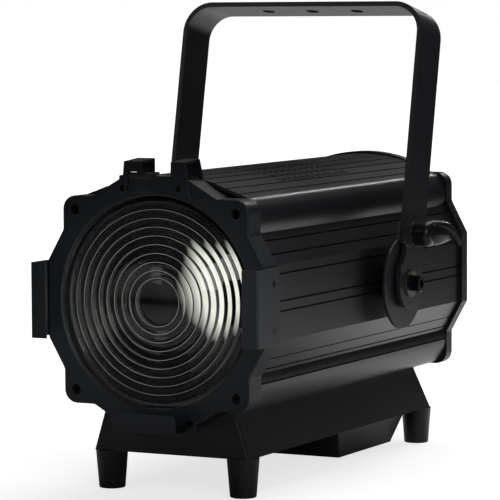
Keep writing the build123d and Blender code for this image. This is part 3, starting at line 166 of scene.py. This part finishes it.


def powder(name, base, roughness, grain=2600.0, bump=0.25, wear_and_edge_highlight=0.35, coat=0.0, scuff=0.05):
    """Powder coat: orange-peel texture, faint change of tone, scuffs, and lighter edges that are
    partly rubbed wear and partly a painted highlight.
    """
    mat = Mat(name)
    cloud = mat.noise(scale=7.0)
    fine = mat.noise(scale=grain, detail=2.0, roughness=0.6)
    peel = mat.noise(scale=grain * 0.28, detail=2.0)

    light = tuple(part * warm * 1.04 for part, warm in zip(base, WARM))
    speck = tuple(min(1, part * 1.5 + 0.002) for part in base)
    colour = mat.mix(mat.remap(cloud), scaled(base, 0.93), light)
    colour = mat.mix(mat.remap(fine, span=(0.35, 0.75), to=(0.0, 0.3)), colour, speck)
    # Lighter edges: partly real rubbed wear, partly a painted highlight along every sharp edge.
    edges = mat.edge_mask(radius=0.0009)
    patches = mat.noise(scale=60.0, detail=4.0, roughness=0.6)
    worn_and_painted_highlight = mat.calc("MULTIPLY", edges, mat.remap(patches, span=(0.42, 0.62), to=(0.2, 1.0)))
    colour = mat.mix(mat.calc("MULTIPLY", worn_and_painted_highlight, wear_and_edge_highlight), colour, RUBBED_EDGE_AND_HIGHLIGHT)

    scratches = mat.noise(scale=30.0, detail=5.0, roughness=0.7, stretch=(1.0, 0.2, 1.0))
    rough = mat.calc(
        "ADD",
        mat.remap(cloud, to=(roughness - 0.015, roughness + 0.02)),
        mat.remap(scratches, span=(0.6, 0.78), to=(0.0, scuff)),
    )
    normal = mat.bump(peel, strength=bump * 0.6, distance=0.00008)
    normal = mat.bump(fine, strength=bump * 0.6, distance=0.00004, normal=normal)
    return mat.done(mat.bsdf(
        Base_Color=colour, Roughness=rough, Normal=normal, Coat_Weight=coat, Coat_Roughness=0.12,
    ))


def metal(name, base, roughness, brush=(1, 1, 1), dark=0.75):
    """Bare or plated metal with fine directional marks and uneven finish."""
    mat = Mat(name)
    marks = mat.noise(scale=400.0, roughness=0.6, stretch=brush)
    cloud = mat.noise(scale=22.0, detail=4.0, roughness=0.6)
    colour = mat.mix(mat.remap(cloud, span=(0.3, 0.72)), scaled(base, dark), base)
    rough = mat.calc(
        "ADD",
        mat.remap(marks, to=(roughness - 0.05, roughness + 0.07)),
        mat.remap(cloud, span=(0.35, 0.7), to=(-0.03, 0.05)),
    )
    normal = mat.bump(marks, strength=0.15, distance=0.00006)
    return mat.done(mat.bsdf(Base_Color=colour, Metallic=1.0, Roughness=rough, Normal=normal))


def plastic(name, base, roughness, grain=1800.0, bump=0.2, specular=0.5):
    """Moulded plastic or rubber with a fine grain."""
    mat = Mat(name)
    cloud = mat.noise(scale=16.0)
    fine = mat.noise(scale=grain, detail=2.0)
    patches = mat.noise(scale=70.0, roughness=0.6)
    return mat.done(mat.bsdf(
        Base_Color=mat.mix(mat.remap(cloud), scaled(base, 0.86), scaled(base, 1.12)),
        Roughness=mat.remap(patches, to=(roughness - 0.05, roughness + 0.07)),
        Normal=mat.bump(fine, strength=bump, distance=0.00008),
        Specular_IOR_Level=specular,
    ))


BRUSHED = dict(brush=(1, 0.1, 1))    # marks drawn out along Y

# slot, finish, base colour, roughness, other settings
FINISHES = [
    ("black_cast", powder, (0.0070, 0.0085, 0.0105), 0.44, dict(grain=2300, bump=0.30, wear_and_edge_highlight=0.5)),
    ("black_extrusion", powder, (0.0095, 0.0105, 0.0128), 0.36,
     dict(grain=2800, bump=0.16, wear_and_edge_highlight=0.25)),
    ("black_sheet", powder, (0.0088, 0.0100, 0.0122), 0.42, dict(grain=2500, bump=0.24, wear_and_edge_highlight=0.4)),
    ("yoke_steel", powder, (0.0245, 0.0255, 0.0300), 0.34, dict(grain=2400, bump=0.22, wear_and_edge_highlight=0.9)),
    ("seal_silicone", plastic, (0.02, 0.02, 0.02), 0.6, {}),
    ("black_oxide", metal, (0.040, 0.041, 0.045), 0.30, dict(dark=0.6)),
    ("zinc_steel", metal, (0.58, 0.57, 0.54), 0.30, {}),
    ("olive_washer", metal, (0.30, 0.28, 0.22), 0.32, dict(dark=0.7)),
    ("bright_aluminium", metal, (0.86, 0.87, 0.84), 0.36, dict(brush=(1, 0.05, 1), dark=0.9)),
    ("mill_aluminium", metal, (0.55, 0.56, 0.57), 0.42, BRUSHED),
    ("ground_steel", metal, (0.66, 0.66, 0.66), 0.2, BRUSHED),
    ("bronze", metal, (0.55, 0.38, 0.18), 0.35, {}),
    ("lever_black", powder, (0.0060, 0.0064, 0.0074), 0.34,
     dict(grain=1500, bump=0.08, wear_and_edge_highlight=0.10, coat=0.12, scuff=0.03)),
    ("foot_rubber", plastic, (0.0048, 0.0052, 0.0058), 0.36, dict(grain=1500, bump=0.14)),
    ("black_plastic", plastic, (0.020, 0.020, 0.022), 0.42, {}),
    ("fan_plastic", plastic, (0.020, 0.020, 0.020), 0.5, {}),
    ("fibre", plastic, (0.035, 0.030, 0.026), 0.8, dict(grain=900, bump=0.5)),
    ("panel_film", plastic, (0.028, 0.030, 0.034), 0.34, dict(grain=3000, bump=0.12)),
    ("key_grey", plastic, (0.30, 0.31, 0.32), 0.45, {}),
    ("socket_blue", plastic, (0.02, 0.07, 0.32), 0.38, {}),
    ("socket_grey", plastic, (0.38, 0.39, 0.40), 0.40, {}),
    ("motor_black", powder, (0.02, 0.02, 0.02), 0.5, {}),
    ("supply_metal", metal, (0.70, 0.71, 0.72), 0.35, BRUSHED),
]
# A material is named after its slot; the silicone's is plain "m_seal".
materials = {
    slot: finish("m_" + slot.removesuffix("_silicone"), base, roughness, **settings)
    for slot, finish, base, roughness, settings in FINISHES
}


# ------------------------------------------------------------------ display, emitter and glass
def display_glass():
    """Dark tinted window with a faint grid."""
    mat = Mat("m_display")
    grid = mat.node("ShaderNodeTexBrick", {"Scale": 900.0, "Vector": mat.place}).outputs["Fac"]
    faint = mat.calc("MULTIPLY", grid, 0.4)
    return mat.done(mat.bsdf(
        Base_Color=mat.mix(faint, (0.004, 0.012, 0.03), (0.010, 0.028, 0.055)),
        Roughness=mat.remap(mat.noise(scale=30.0), to=(0.05, 0.12)),
        Coat_Weight=1.0,
    ))


def led_board():
    """Yellow phosphor disc on a pale board."""
    disc_radius = 0.0125
    mat = Mat("m_led_board")
    place = mat.node("ShaderNodeSeparateXYZ", {0: mat.place}).outputs
    x_squared = mat.calc("POWER", place["X"], 2.0)
    z_squared = mat.calc("POWER", mat.calc("SUBTRACT", place["Z"], AXIS_Z), 2.0)
    radius = mat.calc("SQRT", mat.calc("ADD", x_squared, z_squared))
    inside = mat.calc("LESS_THAN", radius, disc_radius)
    return mat.done(mat.bsdf(
        Base_Color=mat.mix(inside, (0.35, 0.35, 0.33), (0.62, 0.48, 0.08)),
        Roughness=mat.remap(mat.noise(scale=300.0), to=(0.3, 0.5)),
        Normal=mat.bump(mat.noise(scale=1200.0), strength=0.3, distance=0.0001),
    ))


def glass(name, tint, roughness, wave=0.03, painted_matt_amount=0.0, painted_matt_tone=(0.012, 0.0125, 0.012)):
    """Refracts for the eye, but lets light straight through to the tunnel behind it."""
    mat = Mat(name)
    shader = mat.node("ShaderNodeBsdfGlass", {
        "IOR": 1.60,
        "Color": (*tint, 1),
        "Roughness": mat.remap(mat.noise(scale=90.0), to=(roughness, roughness + 0.012)),
        "Normal": mat.bump(mat.noise(scale=130.0, detail=2.0), strength=wave, distance=0.0003),
    }).outputs[0]
    # Painted tone: a flat matt colour mixed into the glass, near-black on the risers for painted
    # shade lines and pale on the crests for painted highlight lines.
    if painted_matt_amount:
        painted_matt_shader = mat.bsdf(Base_Color=(*painted_matt_tone, 1), Roughness=0.20)
        shader = mat.mix_shader(painted_matt_amount, shader, painted_matt_shader)
    clear = mat.node("ShaderNodeBsdfTransparent", {"Color": (0.945, 0.955, 0.94, 1)}).outputs[0]
    ray = mat.node("ShaderNodeLightPath").outputs
    passing = mat.calc("MAXIMUM", ray["Is Shadow Ray"], ray["Is Diffuse Ray"])
    return mat.done(mat.mix_shader(passing, shader, clear))


materials["display_glass"] = display_glass()
materials["led_board"] = led_board()
materials["lens_glass"] = glass(
    "m_lens_glass", tint=(0.985, 0.988, 0.978), roughness=0.004, wave=0.015)
# Risers: darker glass with a near-black matt tone mixed in, painted shade lines.
lens_riser = glass("m_lens_riser", tint=(0.72, 0.74, 0.72), roughness=0.04, painted_matt_amount=0.40)
# Crests: a pale matt tone mixed in, painted highlight lines.
lens_crest = glass("m_lens_crest", tint=(0.85, 0.86, 0.84), roughness=0.08, painted_matt_amount=0.48,
                   painted_matt_tone=(0.40, 0.415, 0.40))
materials["lens_riser"] = lens_riser
materials["lens_crest"] = lens_crest

# ------------------------------------------------------------------ CAD pieces: finish and edges
# bevel width in metres; other pieces keep their edges
BEVELS = {
    "front_bezel": 0.0007, "rear_cover": 0.0008, "yoke": 0.0013, "base_plinth": 0.0007,
    "underside_cowl": 0.0006, "accessory_holder_left": 0.0005,
    "accessory_holder_right": 0.0005, "accessory_holder_bottom": 0.0005,
    "latch_bracket": 0.0004, "retainer_flap": 0.0003, "friction_discs": 0.0004,
    "pivot_spacers": 0.0004, "yoke_washers": 0.0003, "control_panel": 0.0004,
    "clamp_plate_left": 0.0004, "clamp_plate_right": 0.0004,
}


def sharp_group(limit):
    """Marks edges past the limit (degrees) sharp: flats stay flat, turned faces smooth."""
    tree = bpy.data.node_groups.new("sharp_by_angle", "GeometryNodeTree")
    for side in ("INPUT", "OUTPUT"):
        tree.interface.new_socket("Geometry", in_out=side, socket_type="NodeSocketGeometry")
    group = Nodes(tree)
    geometry = group.node("NodeGroupInput").outputs[0]
    angle = group.node("GeometryNodeInputMeshEdgeAngle").outputs["Unsigned Angle"]
    past_limit = group.node(
        "FunctionNodeCompare", {0: angle, 1: math.radians(limit)},
        data_type="FLOAT", operation="GREATER_THAN",
    ).outputs[0]
    shaded = group.node(
        "GeometryNodeSetShadeSmooth",
        {0: geometry, "Selection": past_limit, "Shade Smooth": False}, domain="EDGE",
    ).outputs[0]
    group.node("NodeGroupOutput", {0: shaded})
    return tree


def dress(name, piece, material, group):
    """Gives a CAD piece its material and the modifiers that clean and soften it."""
    mesh = piece.data
    mesh.materials.clear()
    mesh.materials.append(material)
    for face in mesh.polygons:
        face.material_index = 0
    if "custom_normal" in mesh.attributes:
        mesh.attributes.remove(mesh.attributes["custom_normal"])
    mesh.shade_smooth()

    weld = piece.modifiers.new("weld", "WELD")
    weld.merge_threshold = 2e-6
    flats = piece.modifiers.new("flats", "DECIMATE")
    flats.decimate_type = "DISSOLVE"
    flats.angle_limit = math.radians(0.2)
    if name in BEVELS:
        bevel = piece.modifiers.new("soft_edges", "BEVEL")
        bevel.width = BEVELS[name]
        bevel.segments = 2
        bevel.limit_method = "ANGLE"
        bevel.angle_limit = math.radians(40)
        bevel.use_clamp_overlap = True
        bevel.harden_normals = False
    piece.modifiers.new("sharp", "NODES").node_group = group
    even = piece.modifiers.new("even", "WEIGHTED_NORMAL")
    even.keep_sharp = True
    even.weight = 60


slot_of = {part["node"]: part["material_slot"] for part in frame["record"]["subparts"]}
sharp = sharp_group(limit=30)
sharp_body = sharp_group(limit=18)      # the extrusion's flats meet at shallow angles
for name, piece in pieces.items():
    dress(
        name, piece,
        material=materials.get(slot_of.get(name), materials["black_sheet"]),
        group=sharp_body if name in ("body_shell", "rear_cover") else sharp,
    )


# Painted shade in the extruded grooves: their long, narrow strips get a matt near-black finish.
STRIP_MIN_LENGTH = 0.05
STRIP_MAX_WIDTH = 0.0007


def paint_groove_shade(mesh):
    mesh.materials.append(plastic(
        "m_groove_painted_shade", (0.0022, 0.0024, 0.0028), roughness=0.75, grain=1500, bump=0.1, specular=0.08))
    for face in mesh.polygons:
        corners = [mesh.vertices[i].co for i in face.vertices]
        size = [max(axis) - min(axis) for axis in zip(*corners)]
        if size[1] > STRIP_MIN_LENGTH and math.hypot(size[0], size[2]) < STRIP_MAX_WIDTH:
            # painted shade: this face is a groove strip
            face.material_index = 1


paint_groove_shade(pieces["body_shell"].data)


# ------------------------------------------------------------------ inside the housing
def tunnel_silver_with_painted_shade():
    """Satin silver with painted light and shade: silver where the wall faces the eye, a painted
    dark copy where it is seen at a slant.
    """
    mat = Mat("m_tunnel_silver_painted_shade")
    marks = mat.noise(scale=500.0, roughness=0.6, stretch=(1, 0.1, 1))
    normal = mat.bump(marks, strength=0.12, distance=0.00005)
    geometry = mat.node("ShaderNodeNewGeometry").outputs
    facing = mat.calc("ABSOLUTE", mat.dot(geometry["Incoming"], geometry["Normal"]))
    uneven = mat.remap(mat.noise(scale=45.0, roughness=0.6), to=(-0.02, 0.02))
    # painted light and shade: the viewing angle picks between the silver copy and the dark copy
    painted_lit_mask = mat.remap(mat.calc("ADD", facing, uneven), span=(0.935, 0.985))
    silver = mat.bsdf(
        Base_Color=mat.mix(
            mat.remap(mat.noise(scale=20.0)), (0.70, 0.695, 0.655), (0.84, 0.84, 0.79)),
        Metallic=0.35,
        Roughness=mat.remap(marks, to=(0.28, 0.40)),
        Normal=normal,
    )
    # painted shade: a near-black copy of the wall
    dark = mat.bsdf(
        Base_Color=mat.mix(
            mat.remap(mat.noise(scale=60.0)), (0.0012, 0.0013, 0.0014), (0.0030, 0.0030, 0.0030)),
        Roughness=mat.remap(marks, to=(0.45, 0.6)),
        Normal=normal,
        Specular_IOR_Level=0.04,
    )
    return mat.done(mat.mix_shader(painted_lit_mask, dark, silver))


def black_anodised():
    base = (0.005, 0.0055, 0.006)
    mat = Mat("m_black_anodised")
    marks = mat.noise(scale=500.0, roughness=0.6, stretch=(1, 0.1, 1))
    return mat.done(mat.bsdf(
        Base_Color=mat.mix(mat.remap(mat.noise(scale=20.0)), scaled(base, 0.8), base),
        Metallic=0.25,
        Roughness=mat.remap(marks, to=(0.55, 0.68)),
        Normal=mat.bump(marks, strength=0.15, distance=0.00005),
        Specular_IOR_Level=0.08,
    ))


tunnel_silver_painted = tunnel_silver_with_painted_shade()
dull = black_anodised()
for name in ("zoom_carriage", "led_heatsink", "cooling_fan_frame", "rod_supports",
             "lens_retaining_ring", "led_collector"):
    pieces[name].data.materials[0] = dull
pieces["latch_bracket_screws"].data.materials[0] = materials["black_oxide"]

# The tunnel behind the lens is silver, painted dark where seen at a slant, with dull end faces.
tunnel = pieces["light_tunnel"].data
tunnel.materials[0] = tunnel_silver_painted
tunnel.materials.append(dull)
for face in tunnel.polygons:
    face.material_index = 1 if abs(face.normal.y) > 0.8 else 0

# ------------------------------------------------------------------ fresnel lens
# Millimetres; depths run back from the bezel's front face.
RING_RADII = [22.5, 29.6, 37.4, 45.6, 53.8, 62.0, 70.2, 78.4, 86.6, 94.6]
FOCAL = 118.0
BEND = 0.72              # how far a facet's slope is steepened: its angle is divided by this
DOME_CURVE = 0.60        # dome radius of curvature over FOCAL
DOME_FRONT = 5.4
DOME_STEPS = 8
FACET_FRONT = 5.0
FACET_MAX_DEPTH = 7.0
FACET_STEPS = 6
FACET_BULGE = 0.22
FACET_INSET = 0.52       # from the riser's foot to the start of the facet
CREST_INSET = 0.12       # from the riser's foot to the crest
CREST_SETBACK = 0.02
LENS_SEGMENTS = 256
LENS_SHARP_ANGLE = 24    # degrees

# radius, depth: flat rim, edge and flat back
LENS_RIM = [
    (94.9, 5.5), (99.4, 5.5), (99.7, 5.1), (103.6, 5.1),
    (103.7, 5.2), (103.7, 12.8), (103.5, 13.0), (0.0, 13.0),
]
FACET, RISER, CREST = range(3)      # material slots


def lens_profile():
    """Points [radius, depth, slot of the surface from this point to the next]."""
    points = []
    for k in range(DOME_STEPS + 1):
        radius = RING_RADII[0] * k / DOME_STEPS
        sag = radius * radius / (2 * FOCAL * DOME_CURVE)
        points.append([radius, DOME_FRONT + sag, FACET])
    for inner, outer in zip(RING_RADII, RING_RADII[1:]):
        slope = math.tan(math.atan((inner + outer) / 2 / FOCAL) / BEND)
        depth = min((outer - inner) * slope, FACET_MAX_DEPTH)
        points[-1][2] = RISER                # back up to the front of the next facet
        points.append([inner + CREST_INSET, FACET_FRONT + CREST_SETBACK, CREST])
        width = outer - inner - FACET_INSET
        for k in range(FACET_STEPS + 1):
            t = k / FACET_STEPS
            bulge = FACET_BULGE * math.sin(math.pi * t)
            points.append([inner + FACET_INSET + width * t, FACET_FRONT + depth * t - bulge, FACET])
    points[-1][2] = RISER
    points += [[radius, depth, FACET] for radius, depth in LENS_RIM]
    return points


def turned_body(name, profile, centre, axis, segments, sharp_angle):
    """Turns a profile about an axis; a point at radius 0 becomes a single pole."""
    axis = Vector(axis)
    side = axis.orthogonal().normalized()
    other_side = axis.cross(side)
    verts, faces, face_slots, rings = [], [], [], []
    for radius, depth, _ in profile:
        radius, depth = radius * MM, depth * MM
        start = len(verts)
        if radius < 1e-9:
            verts.append(centre + axis * depth)
        else:
            for k in range(segments):
                turn = 2 * math.pi * k / segments
                spoke = side * math.cos(turn) + other_side * math.sin(turn)
                verts.append(centre + axis * depth + spoke * radius)
        rings.append(range(start, len(verts)))
    for here, there, (_, _, slot) in zip(rings, rings[1:], profile):
        for k in range(segments):
            after = (k + 1) % segments
            if len(here) == 1:
                faces.append((here[0], there[k], there[after]))
            elif len(there) == 1:
                faces.append((here[k], there[0], here[after]))
            else:
                faces.append((here[k], there[k], there[after], here[after]))
            face_slots.append(slot)

    made = new_object(name, verts, faces)
    mesh = made.data
    mesh.shade_smooth()
    mesh.set_sharp_from_angle(angle=math.radians(sharp_angle))
    for face, slot in zip(mesh.polygons, face_slots):
        face.material_index = slot
    bm = bmesh.new()
    bm.from_mesh(mesh)
    bmesh.ops.remove_doubles(bm, verts=bm.verts, dist=1e-6)
    bmesh.ops.recalc_face_normals(bm, faces=bm.faces)
    bm.to_mesh(mesh)
    bm.free()
    return made


lens = turned_body("fresnel_lens_glass", lens_profile(), centre=from_bezel(0, 0, 0),
                   axis=(0, 1, 0), segments=LENS_SEGMENTS, sharp_angle=LENS_SHARP_ANGLE)
for material in (materials["lens_glass"], lens_riser, lens_crest):
    lens.data.materials.append(material)
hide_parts("fresnel_lens")
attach(lens, "housing")


# ------------------------------------------------------------------ floor and world
def floor_material():
    """White to the eye; to other rays it fades to near-black away from the product."""
    mat = Mat("m_floor")
    matt = mat.bsdf(
        Base_Color=mat.mix(mat.remap(mat.noise(scale=3.0)), (0.80, 0.80, 0.80), (0.83, 0.83, 0.83)),
        Roughness=mat.remap(mat.noise(scale=12.0), to=(0.85, 0.95)),
        Normal=mat.bump(mat.noise(scale=60.0), strength=0.03, distance=0.0003),
        Specular_IOR_Level=0.1,
    )
    ray = mat.node("ShaderNodeLightPath").outputs
    measure = mat.node("ShaderNodeVectorMath", {0: mat.place}, operation="LENGTH")
    distance = measure.outputs["Value"]
    near = mat.remap(distance, span=(0.55, 1.7), to=(1.0, 0.0))
    # a glow seen only in reflections, behind the bezel
    y = mat.node("ShaderNodeSeparateXYZ", {0: mat.place}).outputs["Y"]
    rear = mat.remap(y, span=(0.12, 0.42), to=(0.0, 0.85))
    rear_glow = mat.calc("MULTIPLY", ray["Is Glossy Ray"], rear)
    # a glow seen only by the camera, brighter with distance
    outward = mat.remap(distance, span=(0.3, 2.0), to=(0.74, 1.15))
    seen_glow = mat.calc("MULTIPLY", ray["Is Camera Ray"], outward)
    glow = mat.node("ShaderNodeEmission", {
        "Color": (1.0, 1.0, 1.0, 1), "Strength": mat.calc("ADD", seen_glow, rear_glow),
    }).outputs[0]
    white = mat.node("ShaderNodeAddShader", {0: matt, 1: glow}).outputs[0]
    black = mat.node("ShaderNodeBsdfDiffuse", {"Color": (0.03, 0.03, 0.03, 1)}).outputs[0]
    return mat.done(mat.mix_shader(mat.calc("MAXIMUM", ray["Is Camera Ray"], near), black, white))


floor = new_object("floor", [(-8, -8, 0), (8, -8, 0), (8, 14, 0), (-8, 14, 0)], [(0, 1, 2, 3)])
floor.data.materials.append(floor_material())


def studio_world():
    """White to the camera, a faint cool fill for everything else."""
    world = bpy.data.worlds.new("studio")
    scene.world = world
    world.use_nodes = True
    sky = Nodes(world.node_tree)
    backdrop = sky.node("ShaderNodeBackground", {"Color": (1, 1, 1, 1), "Strength": 1.0})
    fill = sky.node("ShaderNodeBackground", {"Color": (0.90, 0.95, 1.0, 1), "Strength": 0.035})
    seen = sky.node("ShaderNodeLightPath").outputs["Is Camera Ray"]
    surface = sky.mix_shader(seen, fill.outputs[0], backdrop.outputs[0])
    sky.node("ShaderNodeOutputWorld", {"Surface": surface})


studio_world()


# ------------------------------------------------------------------ lights
def add_light(name, kind, place, target, **settings):
    light = bpy.data.lights.new(name, kind)
    for key, value in settings.items():
        setattr(light, key, value)
    made = bpy.data.objects.new(name, light)
    scene.collection.objects.link(made)
    made.location = place
    made.rotation_euler = (Vector(target) - Vector(place)).to_track_quat("-Z", "Y").to_euler()
    return made


# name, place, target, side of the square, watts
PANELS = [
    ("key_top", (0.1, 0.85, 2.35), (0, 0.05, 0.1), 2.0, 24),
    ("back_rim", (0.02, 2.3, 1.42), (0, 0.0, 0.25), 0.2, 4.2),
    ("front_right", (2.0, -2.0, 1.35), (0, 0, 0.2), 1.3, 10.5),
    ("front_left", (-1.5, -2.4, 1.5), (0, 0, 0.2), 0.8, 1.5),
]
for name, place, target, side, watts in PANELS:
    panel = add_light(name, "AREA", place, target,
                      energy=watts, shape="RECTANGLE", size=side, size_y=side)
    panel.visible_camera = False

# a narrow beam that only enters the lens opening, for the lit side of the tunnel
beam = add_light(
    "lens_beam", "SPOT", place=from_bezel(2050, -2000, 330), target=from_bezel(0, 8, 0),
    energy=520, spot_size=math.radians(3.7), spot_blend=0.15, shadow_soft_size=0.05,
)
beam.visible_glossy = False

# ------------------------------------------------------------------ camera
AZIMUTH = 0.47592143776960244        # radians from -Y towards +X
ELEVATION = 0.08058765443682675      # radians above level
ROLL = -0.005190577306477312         # radians
DISTANCE = 2.8882921029630825
CAMERA_TARGET = from_bezel(22.690692618917925, 150.0, 39.16494566502263)
SENSOR_WIDTH = 36.0                  # mm
FOCAL_LENGTH = 214.57675734822518    # mm


def add_camera():
    toward = Vector((
        math.sin(AZIMUTH) * math.cos(ELEVATION),
        -math.cos(AZIMUTH) * math.cos(ELEVATION),
        math.sin(ELEVATION),
    ))
    place = CAMERA_TARGET + toward * DISTANCE
    forward = -toward
    level = forward.cross(Vector((0, 0, 1))).normalized()
    upright = level.cross(forward)
    right = level * math.cos(ROLL) + upright * math.sin(ROLL)
    up = -level * math.sin(ROLL) + upright * math.cos(ROLL)

    data = bpy.data.cameras.new("camera")
    data.sensor_width = SENSOR_WIDTH
    data.lens = FOCAL_LENGTH
    data.clip_start = 0.05
    camera = bpy.data.objects.new("camera", data)
    scene.collection.objects.link(camera)
    camera.matrix_world = Matrix([*zip(right, up, toward, place), (0, 0, 0, 1)])
    scene.camera = camera


add_camera()
scene.view_settings.view_transform = "Standard"
scene.view_settings.look = "None"
